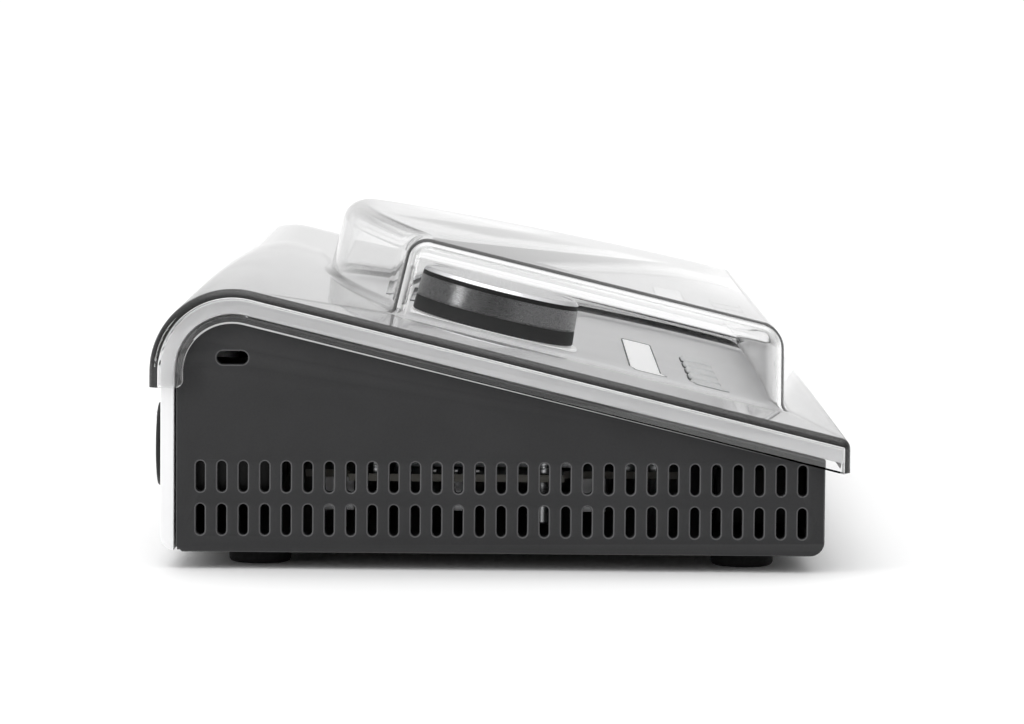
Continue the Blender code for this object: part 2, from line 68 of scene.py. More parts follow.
MM = 0.001
GAP = 0.3
JOINTS = {joint["name"]: joint for joint in frame["joints"]}

# the wrap and the sides
HALF_WIDTH = 140.0
PANEL_Z = 42.17
FRONT_Y, REAR_Y = -75.3, 75.6
BEND_R = 16.0
WRAP_THICK = 3.0
SIDE_FACE_X, SIDE_THICK = 139.4, 3.6
CHASSIS_FRONT_Y = -71.8
EDGE_BREAK = 0.3                       # small bevel on every sheet-metal edge
VENT_COUNT, VENT_PITCH = 29, 4.77
VENT_WIDTH, VENT_HEIGHT = 2.0, 6.9
VENT_ROWS = (7.27, 16.85)
VENT_RIM_LOW = 3.0                     # the painted highlight on the vent rims starts above this height
LOCK_SLOT = (59.75, 43.25, 7.0, 3.0)

# controls, in the panel frame
KNOB_X, KNOB_V = -55.0, 3.4
KNOB_R, KNOB_TOP_R = 19.9, 19.1
KNOB_LOW, KNOB_HIGH = 1.7, 12.2
KNOB_GRIP_TOP = 5.2                    # the dark lower third of the knob's wall
KNOB_RIM_DROP, KNOB_CHAMFER = 1.95, 0.85   # dark rim and bright chamfer, measured down from the top
RING_R, RING_BORE_R, RING_TOP, RING_DEPTH = 21.2, 14.0, 1.4, 1.2
RING_UNDERCUT = 0.45                   # height of the shadow gap under the ring's lip
SEAL_DEPTH, SEAL_HEIGHT = 2.0, 2.3     # seals in the gaps round buttons and windows
OPTION_V, OPTION_PITCH, OPTION_X = -50.0, 17.5, -76.0
OPTION_SIZE = (13.0, 7.6)
ROUND_BUTTON_R, ROUND_BUTTON_STEP = 4.8, 29.0
DISPLAY = (9.0, 13.5, 46.0, 31.0)
INDICATOR = (-25.0, -35.0, 118.0, 7.2)

# connectors on the rear wall
COMBO_XS = [-122.0 + 28.0 * i for i in range(4)]
LINE_XS = [-14.0 + 16.0 * i for i in range(4)]
COMBO_Z, COMBO_R, COMBO_PROUD = 22.4, 9.4, 1.7
REAR_Z, JACK_R, JACK_PROUD = 20.0, 4.6, 1.5
OPTICAL_X, INLET_X, INLET_R = 54.0, 106.0, 6.0
DATA_XS = (72.0, 88.0)
SWITCH_X, SWITCH_Z = 124.0, 22.0
SOCKET_R = 3.3
FRONT_JACK_XS = (-112.0, -90.0, 90.0, 112.0)
FRONT_JACK_Z = 11.0

# main board
BOARD_LOW, BOARD_THICK = 15.6, 1.6

# dust cover
COVER_THICK, COVER_GAP = 1.5, 1.0
COVER_TOP = COVER_GAP + COVER_THICK
COVER_SKIRT = 5.1
COVER_FRONT_Y, COVER_FRONT_LOW, COVER_REAR_LOW = -77.2, 18.9, 36.7
COVER_EDGE_R, COVER_INNER_R = 2.4, 0.3
COVER_RIM_R, COVER_FOOT_R = 0.45, 1.6  # rounding of the skirt's lower rim and of its rear foot
FLANGE_LOW = 0.5                       # underside of the flange above the panel
DOME_HALF_WIDTH, DOME_FRONT_V, DOME_REAR_V = 106.0, -65.9, 26.9
DOME_TOP, DOME_EDGE_R, DOME_CORNER_R = 21.0, 5.0, 5.0
DOME_DRAFT = math.radians(3.5)         # lean of the side walls
DOME_BASE_R = 1.6                      # outer fillet where the dome meets the flange
DOME_BULGE_R, DOME_BULGE_X, DOME_BULGE_V = 175.0, -6.0, 45.1


def find_frames():
    """The two drawing frames, from the knob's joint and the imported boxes."""
    normal = Vector(JOINTS["knob_spin"]["axis"])
    slope = math.atan2(-normal.y, normal.z)
    origin = Vector((0.0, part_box("top_wrap")[1].y - REAR_Y * MM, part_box("base_plate")[0].z))
    case = Matrix.Translation(origin)
    panel = case @ Matrix.Translation((0.0, 0.0, PANEL_Z * MM)) @ Matrix.Rotation(slope, 4, "X")
    return slope, case, panel


SLOPE, CASE, PANEL = find_frames()


# ---------------------------------------------------------------- outlines

def circle(radius, count=64, centre=(0.0, 0.0)):
    step = 2 * math.pi / count
    return [(centre[0] + radius * math.cos(i * step), centre[1] + radius * math.sin(i * step))
            for i in range(count)]


def arc(centre, radius, start, end, steps):
    points = []
    for i in range(steps + 1):
        a = math.radians(start + (end - start) * i / steps)
        points.append((centre[0] + radius * math.cos(a), centre[1] + radius * math.sin(a)))
    return points


def rounded_rect(width, depth, radius, centre=(0.0, 0.0), steps=6):
    points = []
    for sx, sy, start in ((1, 1, 0), (-1, 1, 90), (-1, -1, 180), (1, -1, 270)):
        corner = (centre[0] + sx * (width / 2 - radius), centre[1] + sy * (depth / 2 - radius))
        points += arc(corner, radius, start, start + 90, steps)
    return points


def inset(outline, distance):
    """A closed counter-clockwise outline moved inwards along its normals."""
    moved = []
    for i, (x, y) in enumerate(outline):
        x0, y0 = outline[i - 1]
        x1, y1 = outline[(i + 1) % len(outline)]
        length = math.hypot(x1 - x0, y1 - y0) or 1.0
        moved.append((x - (y1 - y0) / length * distance, y + (x1 - x0) / length * distance))
    return moved


def bezier(p0, p1, p2, p3, steps):
    points = []
    for i in range(steps + 1):
        t = i / steps
        k = ((1 - t) ** 3, 3 * t * (1 - t) ** 2, 3 * t * t * (1 - t), t ** 3)
        points.append(tuple(sum(w * p[a] for w, p in zip(k, (p0, p1, p2, p3))) for a in (0, 1)))
    return points


def panel_z(y, height=0.0):
    return PANEL_Z + y * math.tan(SLOPE) + height / math.cos(SLOPE)


def wrap_path(height, front_y, rear_low, steps=28):
    """The wrap's side view, moved out by height: up the slope, round the bend, down the rear."""
    radius = BEND_R + height
    centre_y = REAR_Y - BEND_R
    centre = (centre_y, panel_z(centre_y, -BEND_R))
    path = [(front_y, panel_z(front_y, height))]
    path += arc(centre, radius, 90 + math.degrees(SLOPE), 0, steps)
    path.append((REAR_Y + height, rear_low))
    return path


# ---------------------------------------------------------------- meshes

def smooth(mesh, angle=30.0):
    mesh.shade_smooth()
    mesh.set_sharp_from_angle(angle=math.radians(angle))


def piece(name, bm, matrix, mat):
    """An object at the origin whose mesh, drawn in millimetres, is put in place by matrix."""
    bmesh.ops.remove_doubles(bm, verts=bm.verts, dist=1e-4)
    bmesh.ops.dissolve_degenerate(bm, edges=bm.edges, dist=1e-4)
    bmesh.ops.recalc_face_normals(bm, faces=bm.faces)
    bm.transform(matrix @ Matrix.Scale(MM, 4))
    mesh = bpy.data.meshes.new(name)
    bm.to_mesh(mesh)
    bm.free()
    smooth(mesh)
    obj = bpy.data.objects.new(name, mesh)
    bpy.context.scene.collection.objects.link(obj)
    if mat:
        mesh.materials.append(mat)
    return obj


def loft(name, shapes, matrix, mat=None, closed=False):
    """Loops of equal length joined into solids; open lofts get flat ends."""
    bm = bmesh.new()
    for loops in shapes:
        rings = [[bm.verts.new(p) for p in loop] for loop in loops]
        pairs = list(zip(rings, rings[1:]))
        if closed:
            pairs.append((rings[-1], rings[0]))
        else:
            bm.faces.new(rings[0])
            bm.faces.new(rings[-1])
        for low, high in pairs:
            for i in range(len(low)):
                j = (i + 1) % len(low)
                bm.faces.new((low[i], low[j], high[j], high[i]))
    return piece(name, bm, matrix, mat)


def turned(name, profile, matrix, mat=None, segments=96, closed=False):
    """A solid of revolution about z from a profile of (radius, z) points."""
    loops = [[(x, y, z) for x, y in circle(radius, segments)] for radius, z in profile]
    return loft(name, [loops], matrix, mat, closed)


def plate(name, outline, holes, thickness, edge, matrix, mat=None, edge_steps=2):
    """A flat plate with holes in the xy plane, z from 0 to thickness, its edges and holes rounded."""
    curve = bpy.data.curves.new(name, "CURVE")
    curve.dimensions = "2D"
    curve.fill_mode = "BOTH"
    for points in [outline] + list(holes):
        spline = curve.splines.new("POLY")
        spline.points.add(len(points) - 1)
        spline.use_cyclic_u = True
        for target, (x, y) in zip(spline.points, points):
            target.co = (x, y, 0.0, 1.0)
    curve.extrude = thickness / 2 - edge
    curve.bevel_depth = edge
    curve.offset = -edge
    curve.bevel_resolution = edge_steps
    drawn = bpy.data.objects.new(name + "_outline", curve)
    bpy.context.scene.collection.objects.link(drawn)
    graph = bpy.context.evaluated_depsgraph_get()
    mesh = drawn.evaluated_get(graph).to_mesh()
    bm = bmesh.new()
    bm.from_mesh(mesh)
    bpy.data.objects.remove(drawn)
    bpy.data.curves.remove(curve)
    bmesh.ops.translate(bm, verts=bm.verts, vec=(0.0, 0.0, thickness / 2))
    return piece(name, bm, matrix, mat)


def combine(target, tool, operation):
    """Joins or cuts target with tool at once, and removes the tool."""
    modifier = target.modifiers.new("combine", "BOOLEAN")
    modifier.operation = operation
    modifier.solver = "EXACT"
    modifier.object = tool
    graph = bpy.context.evaluated_depsgraph_get()
    mesh = bpy.data.meshes.new_from_object(target.evaluated_get(graph), depsgraph=graph)
    target.modifiers.clear()
    target.data = mesh
    bpy.data.objects.remove(tool)
    smooth(mesh)


def soften(obj, width, segments=2, angle=30.0):
    """A small rounded edge on a piece, with faces shaded flat between the edges."""
    bevel = obj.modifiers.new("soften", "BEVEL")
    bevel.width = width * MM
    bevel.segments = segments
    bevel.limit_method = "ANGLE"
    bevel.angle_limit = math.radians(angle)
    bevel.harden_normals = True
    return obj


def mount(obj, body, slot, *nodes):
    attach(obj, body)
    if nodes:
        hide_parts(*nodes)
    return obj


def facing(origin, x_axis, y_axis, base=CASE):
    """A frame for plate() and turned(): origin in millimetres, local x and y along the given axes."""
    x, y = Vector(x_axis), Vector(y_axis)
    turn = Matrix((x, y, x.cross(y))).transposed().to_4x4()
    return base @ Matrix.Translation(Vector(origin) * MM) @ turn


# ---------------------------------------------------------------- materials

def shader_material(name, colour, roughness, metallic=0.0):
    mat = bpy.data.materials.new(name)
    mat.use_nodes = True
    shader = mat.node_tree.nodes["Principled BSDF"]
    shader.inputs["Base Color"].default_value = (*colour, 1.0)
    shader.inputs["Roughness"].default_value = roughness
    shader.inputs["Metallic"].default_value = metallic
    return mat, mat.node_tree, shader


def noise(tree, scale, detail=3.0, stretch=(1.0, 1.0, 1.0)):
    """Noise in the piece's own coordinates; scale counts features per metre."""
    nodes, links = tree.nodes, tree.links
    coordinates = nodes.new("ShaderNodeTexCoord")
    mapping = nodes.new("ShaderNodeMapping")
    mapping.inputs["Scale"].default_value = stretch
    texture = nodes.new("ShaderNodeTexNoise")
    texture.inputs["Scale"].default_value = scale
    texture.inputs["Detail"].default_value = detail
    links.new(coordinates.outputs["Object"], mapping.inputs["Vector"])
    links.new(mapping.outputs["Vector"], texture.inputs["Vector"])
    return texture.outputs["Fac"]


def spread(tree, value, low, high):
    """Maps a 0-1 texture onto a range."""
    node = tree.nodes.new("ShaderNodeMapRange")
    node.inputs["From Min"].default_value = 0.3
    node.inputs["From Max"].default_value = 0.7
    node.inputs["To Min"].default_value = low
    node.inputs["To Max"].default_value = high
    tree.links.new(value, node.inputs["Value"])
    return node.outputs["Result"]


def vary_colour(tree, shader, value, colour, amount):
    """Colour that drifts darker and lighter by amount."""
    mix = tree.nodes.new("ShaderNodeMix")
    mix.data_type = "RGBA"
    mix.inputs["A"].default_value = (*[c * (1 - amount) for c in colour], 1.0)
    mix.inputs["B"].default_value = (*[min(1.0, c * (1 + amount)) for c in colour], 1.0)
    tree.links.new(value, mix.inputs["Factor"])
    tree.links.new(mix.outputs["Result"], shader.inputs["Base Color"])
    return mix


def add_bump(tree, shader, value, depth, strength=1.0):
    """Relief of the given depth in millimetres."""
    bump = tree.nodes.new("ShaderNodeBump")
    bump.inputs["Strength"].default_value = strength
    bump.inputs["Distance"].default_value = depth * MM
    tree.links.new(value, bump.inputs["Height"])
    tree.links.new(bump.outputs["Normal"], shader.inputs["Normal"])


def edge_highlight(tree, shader, mix, edge_colour):
    """Painted highlight: a faint lighter line along sharp edges, where light would catch them."""
    geometry = tree.nodes.new("ShaderNodeNewGeometry")
    ramp = tree.nodes.new("ShaderNodeMapRange")
    ramp.inputs["From Min"].default_value = 0.52
    ramp.inputs["From Max"].default_value = 0.62
    lit_edge_mix = tree.nodes.new("ShaderNodeMix")
    lit_edge_mix.data_type = "RGBA"
    lit_edge_mix.inputs["B"].default_value = (*edge_colour, 1.0)
    tree.links.new(geometry.outputs["Pointiness"], ramp.inputs["Value"])
    tree.links.new(ramp.outputs["Result"], lit_edge_mix.inputs["Factor"])
    tree.links.new(mix.outputs["Result"], lit_edge_mix.inputs["A"])
    tree.links.new(lit_edge_mix.outputs["Result"], shader.inputs["Base Color"])


def textured(name, colour, roughness, metallic=0.0, grain=2500.0, relief=0.02, drift=0.08,
             stretch=(1.0, 1.0, 1.0), edge=None, level=0.5):
    """A solid finish: grain in relief and gloss, slow colour drift, a painted highlight on sharp edges, and its
    gloss level.
    """
    mat, tree, shader = shader_material(name, colour, roughness, metallic)
    shader.inputs["Specular IOR Level"].default_value = level
    fine = noise(tree, grain, 4.0, stretch)
    slow = noise(tree, 60.0, 2.0)
    mix = vary_colour(tree, shader, spread(tree, slow, 0.0, 1.0), colour, drift)
    tree.links.new(spread(tree, fine, roughness * 0.85, min(1.0, roughness * 1.15)),
                   shader.inputs["Roughness"])
    add_bump(tree, shader, fine, relief)
    if edge:
        edge_highlight(tree, shader, mix, edge)
    return mat


def clear_plastic():
    """Polished polycarbonate: faint moulding ripple, and a trace of grey that grows with thickness."""
    mat, tree, shader = shader_material("clear_polycarbonate", (1.0, 1.0, 1.0), 0.0)
    shader.inputs["Transmission Weight"].default_value = 1.0
    shader.inputs["IOR"].default_value = 1.53
    ripple = noise(tree, 30.0, 1.0)
    add_bump(tree, shader, ripple, 0.012)
    fine = noise(tree, 180.0, 2.0)
    tree.links.new(spread(tree, fine, 0.0, 0.03), shader.inputs["Roughness"])
    depth = tree.nodes.new("ShaderNodeVolumeAbsorption")
    depth.inputs["Color"].default_value = (0.35, 0.35, 0.36, 1.0)
    depth.inputs["Density"].default_value = 50.0
    tree.links.new(depth.outputs["Volume"], tree.nodes["Material Output"].inputs["Volume"])
    return mat


def frosted(name, colour, painted_glow):
    mat, tree, shader = shader_material(name, colour, 0.35)
    shader.inputs["Subsurface Weight"].default_value = 0.4
    shader.inputs["Subsurface Radius"].default_value = (1.0, 1.0, 1.0)
    shader.inputs["Subsurface Scale"].default_value = 1.0 * MM
    # the emission is a painted glow that makes the ring and the button caps read brighter
    shader.inputs["Emission Color"].default_value = (1.0, 1.0, 1.0, 1.0)
    shader.inputs["Emission Strength"].default_value = painted_glow
    vary_colour(tree, shader, noise(tree, 900.0), colour, 0.05)
    add_bump(tree, shader, noise(tree, 6000.0), 0.01)
    return mat


def circuit_board():
    """Green solder mask on the faces, pale laminate on the cut edges."""
    mat = textured("solder_mask", (0.012, 0.028, 0.022), 0.35, 0.0, 900.0, 0.02, 0.15, level=0.2)
    tree = mat.node_tree
    shader = tree.nodes["Principled BSDF"]
    mask = shader.inputs["Base Color"].links[0].from_socket
    geometry = tree.nodes.new("ShaderNodeNewGeometry")
    split = tree.nodes.new("ShaderNodeSeparateXYZ")
    upright = tree.nodes.new("ShaderNodeMath")
    upright.operation = "ABSOLUTE"
    edge = tree.nodes.new("ShaderNodeMix")
    edge.data_type = "RGBA"
    edge.inputs["A"].default_value = (0.24, 0.23, 0.2, 1.0)
    tree.links.new(geometry.outputs["Normal"], split.inputs["Vector"])
    tree.links.new(split.outputs["Z"], upright.inputs[0])
    tree.links.new(upright.outputs["Value"], edge.inputs["Factor"])
    tree.links.new(mask, edge.inputs["B"])
    tree.links.new(edge.outputs["Result"], shader.inputs["Base Color"])
    return mat


MATERIALS = {
    "light_metal": textured("blasted_aluminium", (0.84, 0.84, 0.845), 0.36, 0.25, 5000.0, 0.004, 0.03),
    "dark_metal": textured("powder_coat", (0.03, 0.03, 0.031), 0.6, 0.0, 2200.0, 0.03, 0.06,
                           edge=(0.12, 0.12, 0.12), level=0.18),
    "rubber": textured("moulded_rubber", (0.01, 0.01, 0.01), 0.8, 0.0, 1500.0, 0.03, 0.2, level=0.2),
    "black_plastic": textured("black_moulding", (0.01, 0.01, 0.01), 0.42, 0.0, 3000.0, 0.012, 0.15,
                              edge=(0.03, 0.03, 0.03), level=0.25),
    "knob_metal": textured("dark_anodising", (0.13, 0.13, 0.132), 0.28, 0.9, 1500.0, 0.001, 0.04,
                           stretch=(1.0, 1.0, 10.0)),
    # a darker finish on the knob's foot and on the band under its top rim
    "knob_grip": textured("knob_dark_band", (0.008, 0.008, 0.008), 0.55, 0.0, 2600.0, 0.004, 0.1,
                          level=0.05),
    "knob_top": textured("spun_metal", (0.75, 0.75, 0.76), 0.16, 1.0, 2000.0, 0.001, 0.04),
    # the ring and the button caps carry a painted glow through their emission
    "light_ring": frosted("frosted_ring_painted_glow", (0.9, 0.9, 0.9), 0.3),
    "button_plastic": frosted("button_caps", (0.72, 0.73, 0.73), 0.05),
    "smoked_lens": textured("smoked_acrylic", (0.008, 0.008, 0.009), 0.06, 0.0, 300.0, 0.002, 0.1),
    "clear_plastic": clear_plastic(),
    "steel": textured("zinc_steel", (0.6, 0.6, 0.61), 0.32, 1.0, 2500.0, 0.006, 0.08),
    "aluminium": textured("extruded_aluminium", (0.74, 0.75, 0.76), 0.36, 1.0, 1800.0, 0.01, 0.06,
                          stretch=(1.0, 12.0, 1.0)),
    "circuit_board": circuit_board(),
    # painted highlight: a lighter grey for the bevelled vent rims
    "vent_rim_highlight": textured("painted_vent_rim_highlight", (0.085, 0.085, 0.087), 0.5, 0.0, 2200.0, 0.02, 0.06,
                          level=0.3),
    # painted highlight: an opaque light grey for the clear cover's lower rim
    "skirt_rim_highlight": textured("painted_skirt_rim_highlight", (0.5, 0.5, 0.5), 0.5, 0.0, 3000.0, 0.01, 0.05),
    "rocker_plastic": textured("rocker_moulding", (0.03, 0.03, 0.03), 0.35, 0.0, 3000.0, 0.01, 0.1),
}


# ---------------------------------------------------------------- case

def fine_wrap():
    """Bent sheet with broken edges and its panel and rear openings."""
    low_corner = arc((REAR_Y - 3.5, 3.8), 3.5, 0, -75, 8)
    outer = wrap_path(0.0, FRONT_Y, 3.8)[:-1] + low_corner
    inner = wrap_path(-WRAP_THICK, FRONT_Y, GAP)
    lying = facing((-HALF_WIDTH, 0.0, 0.0), (0.0, 1.0, 0.0), (0.0, 0.0, 1.0))
    wrap = plate("bent_wrap", outer + inner[::-1], [], 2 * HALF_WIDTH, EDGE_BREAK, lying,
                 MATERIALS["light_metal"])

    cuts = [rounded_rect(OPTION_SIZE[0] + 2 * GAP, OPTION_SIZE[1] + 2 * GAP, 1.5,
                         (OPTION_X + OPTION_PITCH * i, OPTION_V)) for i in range(6)]
    cuts += [circle(ROUND_BUTTON_R + GAP, 48, (KNOB_X + s * ROUND_BUTTON_STEP, KNOB_V)) for s in (-1, 1)]
    cuts += [rounded_rect(w + 2 * GAP, d + 2 * GAP, 1.3, (x, v)) for x, v, w, d in (DISPLAY, INDICATOR)]
    cuts.append(circle(RING_R + GAP, 96, (KNOB_X, KNOB_V)))
    prisms = [[[(x, y, z) for x, y in outline] for z in (-6.0, 4.0)] for outline in cuts]
    combine(wrap, loft("panel_cuts", prisms, PANEL), "DIFFERENCE")

    cuts = [circle(COMBO_R + GAP, 72, (x, COMBO_Z)) for x in COMBO_XS]
    cuts += [circle(JACK_R + GAP, 48, (x, REAR_Z)) for x in LINE_XS]
    cuts.append(rounded_rect(11.0 + 2 * GAP, 11.0 + 2 * GAP, 1.3, (OPTICAL_X, REAR_Z)))
    cuts += [rounded_rect(11.6 + 2 * GAP, 6.0 + 2 * GAP, 2.0, (x, REAR_Z)) for x in DATA_XS]
    cuts.append(circle(INLET_R + GAP, 48, (INLET_X, REAR_Z)))
    cuts.append(rounded_rect(12.0 + 2 * GAP, 17.0 + 2 * GAP, 1.3, (SWITCH_X, SWITCH_Z)))
    prisms = [[[(x, y, z) for x, z in outline] for y in (REAR_Y - 6.0, REAR_Y + 3.0)] for outline in cuts]
    combine(wrap, loft("rear_cuts", prisms, CASE), "DIFFERENCE")
    mount(wrap, "case", "light_metal", "top_wrap")


def side_outline():
    """The side panel's outline, with a rounded lower front corner."""
    top = wrap_path(-WRAP_THICK - 0.4, CHASSIS_FRONT_Y, 1.2)
    low = arc((CHASSIS_FRONT_Y + 3.2, 3.2), 3.2, 270, 180, 8)
    return [(70.8, 0.0)] + low + top


def fine_side(side):
    """Vented side wall whose opening rims get a painted highlight, a lighter colour where light would catch them;
    the left one has the security slot.
    """
    first = -VENT_PITCH * (VENT_COUNT - 1) / 2
    holes = [rounded_rect(VENT_WIDTH, VENT_HEIGHT, VENT_WIDTH / 2 - 0.01, (first + VENT_PITCH * i, z))
             for z in VENT_ROWS for i in range(VENT_COUNT)]
    if side < 0:
        y, z, length, height = LOCK_SLOT
        holes.append(rounded_rect(length, height, height / 2 - 0.01, (y, z), 10))
    name = "left" if side < 0 else "right"
    start = min(side * SIDE_FACE_X, side * (SIDE_FACE_X - SIDE_THICK))
    lying = facing((start, 0.0, 0.0), (0.0, 1.0, 0.0), (0.0, 0.0, 1.0))
    wall = plate("vented_side_" + name, side_outline(), holes, SIDE_THICK, EDGE_BREAK, lying,
                 MATERIALS["dark_metal"])
    wall.data.materials.append(MATERIALS["vent_rim_highlight"])
    # painted highlight: bevel faces round the openings, above the lowest few millimetres, take the lighter colour
    rims_above = CASE.translation.z + VENT_RIM_LOW * MM
    for face in wall.data.polygons:
        is_bevel = 0.2 < abs(face.normal.x) < 0.97
        if is_bevel and face.center.z > rims_above:
            face.material_index = 1
    mount(wall, "case", "dark_metal", "side_panel_" + name)


def fine_feet():
    for name in ("front_left", "front_right", "rear_left", "rear_right"):
        low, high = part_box("foot_" + name)
        radius, height = (high.x - low.x) / 2 / MM, (high.z - low.z) / MM
        at = Matrix.Translation(((low.x + high.x) / 2, (low.y + high.y) / 2, low.z))
        profile = [(0.01, 0.5), (radius - 2.6, 0.5), (radius - 2.0, 0.0), (radius - 0.9, 0.0),
                   (radius - 0.4, 0.2), (radius - 0.1, 0.7), (radius, 1.4), (radius - 0.15, height - 0.5),
                   (radius - 0.5, height), (0.01, height)]
        foot = turned("rubber_foot_" + name, profile, at, MATERIALS["rubber"])
        mount(foot, "case", "rubber", "foot_" + name)


# ---------------------------------------------------------------- controls

def fine_knob():
    """Knob with a bright chamfered top, satin wall, and dark bands at its rim and foot."""
    at = PANEL @ Matrix.Translation(Vector((KNOB_X, KNOB_V, 0.0)) * MM)
    low, high = KNOB_LOW, KNOB_HIGH
    rim, chamfer = high - KNOB_RIM_DROP, high - KNOB_CHAMFER
    slope = (KNOB_TOP_R - KNOB_R) / (high - low)
    grip_r = KNOB_R + slope * (KNOB_GRIP_TOP - low)
    profile = [(3.0, 9.6), (3.0, low + 0.6), (KNOB_R - 3.0, low + 0.6), (KNOB_R - 2.4, low),
               (KNOB_R - 0.5, low), (KNOB_R - 0.12, low + 0.15), (KNOB_R, low + 0.5),
               (grip_r, KNOB_GRIP_TOP), (grip_r - 0.25, KNOB_GRIP_TOP + 0.05),
               (grip_r - 0.25, KNOB_GRIP_TOP + 0.4), (grip_r - 0.05, KNOB_GRIP_TOP + 0.45),
               (KNOB_TOP_R + 0.1, rim), (KNOB_TOP_R - 0.1, rim + 0.05),
               (KNOB_TOP_R - 0.1, chamfer - 0.1), (KNOB_TOP_R + 0.02, chamfer),
               (KNOB_TOP_R - 0.78, high - 0.04), (KNOB_TOP_R - 0.95, high),
               (KNOB_TOP_R - 1.5, high), (KNOB_TOP_R - 1.7, high - 0.12), (0.01, high - 0.12)]
    knob = turned("turned_knob", profile, at, MATERIALS["knob_metal"], 128)
    knob.data.materials.append(MATERIALS["knob_grip"])
    knob.data.materials.append(MATERIALS["knob_top"])
    local = at.inverted()
    for face in knob.data.polygons:
        height = (local @ face.center).z / MM
        if height > chamfer - 0.08:
            face.material_index = 2
        elif height < KNOB_GRIP_TOP or height > rim + 0.02:
            face.material_index = 1
    mount(knob, "knob", "knob_metal", "level_knob")

    profile = [(RING_BORE_R, -RING_DEPTH), (RING_R - 1.0, -RING_DEPTH), (RING_R - 1.0, RING_UNDERCUT),
               (RING_R - 0.15, RING_UNDERCUT), (RING_R, RING_UNDERCUT + 0.15)]
    profile += arc((RING_R - 0.5, RING_TOP - 0.5), 0.5, 0, 90, 5) + [(RING_BORE_R, RING_TOP)]
    ring = turned("ring_guide", profile, at, MATERIALS["light_ring"], 128, closed=True)
    mount(ring, "case", "light_ring", "light_ring")


def gaskets():
    """Thin dark seals that stand in the gaps round the option buttons and the flush windows."""
    seats = [("option_gasket_%d" % (i + 1), *OPTION_SIZE, 1.4, (OPTION_X + OPTION_PITCH * i, OPTION_V))
             for i in range(6)]
    seats += [(name, w, d, 1.2, (x, v)) for name, (x, v, w, d) in
              (("display_gasket", DISPLAY), ("indicator_gasket", INDICATOR))]
    sunk = PANEL @ Matrix.Translation((0.0, 0.0, -SEAL_DEPTH * MM))
    outer_gap, inner_gap = 2 * GAP - 0.06, 0.12
    for name, width, depth, radius, at in seats:
        seal = plate(name, rounded_rect(width + outer_gap, depth + outer_gap, radius, at),
                     [rounded_rect(width + inner_gap, depth + inner_gap, radius - 0.2, at)], SEAL_HEIGHT,
                     0.05, sunk, MATERIALS["black_plastic"], 0)
        mount(seal, "case", "black_plastic")


# ---------------------------------------------------------------- connectors

def rear_frame(x, z, y):
    """Drawing frame on the rear wall: local z points out of the back."""
    return facing((x, y, z), (-1.0, 0.0, 0.0), (0.0, 0.0, 1.0))


def front_frame(x, z, y):
    return facing((x, y, z), (1.0, 0.0, 0.0), (0.0, 0.0, 1.0))


def hexagon(radius):
    return circle(radius, 6)


def combo_jack(number, x):
    """Round-nosed microphone and line socket: moulded body, pierced face, latch and contacts."""
    inside = REAR_Y - WRAP_THICK - GAP
    node = "mic_line_jack_%d" % number
    body = plate("combo_body_%d" % number, rounded_rect(24.0, 24.0, 1.5), [circle(3.6, 32)], 22.0, 0.5,
                 rear_frame(x, COMBO_Z, inside - 22.0), MATERIALS["black_plastic"])
    mount(body, "case", "black_plastic", node)
    pins = [(6.2 * math.cos(math.radians(a)), 6.2 * math.sin(math.radians(a))) for a in (30, 150, 270)]
    length = REAR_Y + COMBO_PROUD - inside - 0.05
    nose = plate("combo_nose_%d" % number, circle(COMBO_R, 96),
                 [circle(SOCKET_R, 40)] + [circle(1.35, 20, p) for p in pins], length, 0.45,
                 rear_frame(x, COMBO_Z, inside + 0.05), MATERIALS["black_plastic"], 3)
    mount(nose, "case", "black_plastic")
    face = REAR_Y + COMBO_PROUD
    bush = turned("combo_bush_%d" % number, [(SOCKET_R - 0.05, -3.0), (SOCKET_R - 0.05, -0.5),
                                             (SOCKET_R - 0.45, -0.5), (SOCKET_R - 0.45, -3.0)],
                  rear_frame(x, COMBO_Z, face), MATERIALS["steel"], 48, closed=True)
    mount(bush, "case", "steel")
    latch = plate("combo_latch_%d" % number, rounded_rect(4.6, 1.9, 0.5, (0.0, 6.6)), [], 0.7, 0.2,
                  rear_frame(x, COMBO_Z, face - 0.25), MATERIALS["steel"])
    mount(latch, "case", "steel")


def small_jack(node, frame_at):
    """Jack with a black bush, a plated nut and a contact ring; frame_at(depth) faces outwards."""
    back = -WRAP_THICK - GAP
    body = plate(node + "_body", rounded_rect(13.0, 13.0, 0.8), [circle(3.5, 32)], 20.0, 0.4,
                 frame_at(back - 20.0), MATERIALS["black_plastic"])
    mount(body, "case", "black_plastic", node)
    profile = [(SOCKET_R, back + 0.05), (JACK_R, back + 0.05), (JACK_R, JACK_PROUD - 0.4),
               (JACK_R - 0.15, JACK_PROUD - 0.12), (JACK_R - 0.4, JACK_PROUD), (SOCKET_R + 0.4, JACK_PROUD),
               (SOCKET_R + 0.1, JACK_PROUD - 0.15), (SOCKET_R, JACK_PROUD - 0.4)]
    bush = turned(node + "_bush", profile, frame_at(0.0), MATERIALS["black_plastic"], 64, closed=True)
    mount(bush, "case", "black_plastic")
    nut = plate(node + "_nut", hexagon(6.6), [circle(JACK_R + 0.05, 48)], 1.1, 0.2, frame_at(0.03),
                MATERIALS["steel"])
    mount(nut, "case", "steel")
    ring = turned(node + "_contact", [(SOCKET_R - 0.03, -2.5), (SOCKET_R - 0.03, -0.8),
                                      (SOCKET_R - 0.4, -0.8), (SOCKET_R - 0.4, -2.5)],
                  frame_at(0.0), MATERIALS["steel"], 48, closed=True)
    mount(ring, "case", "steel")


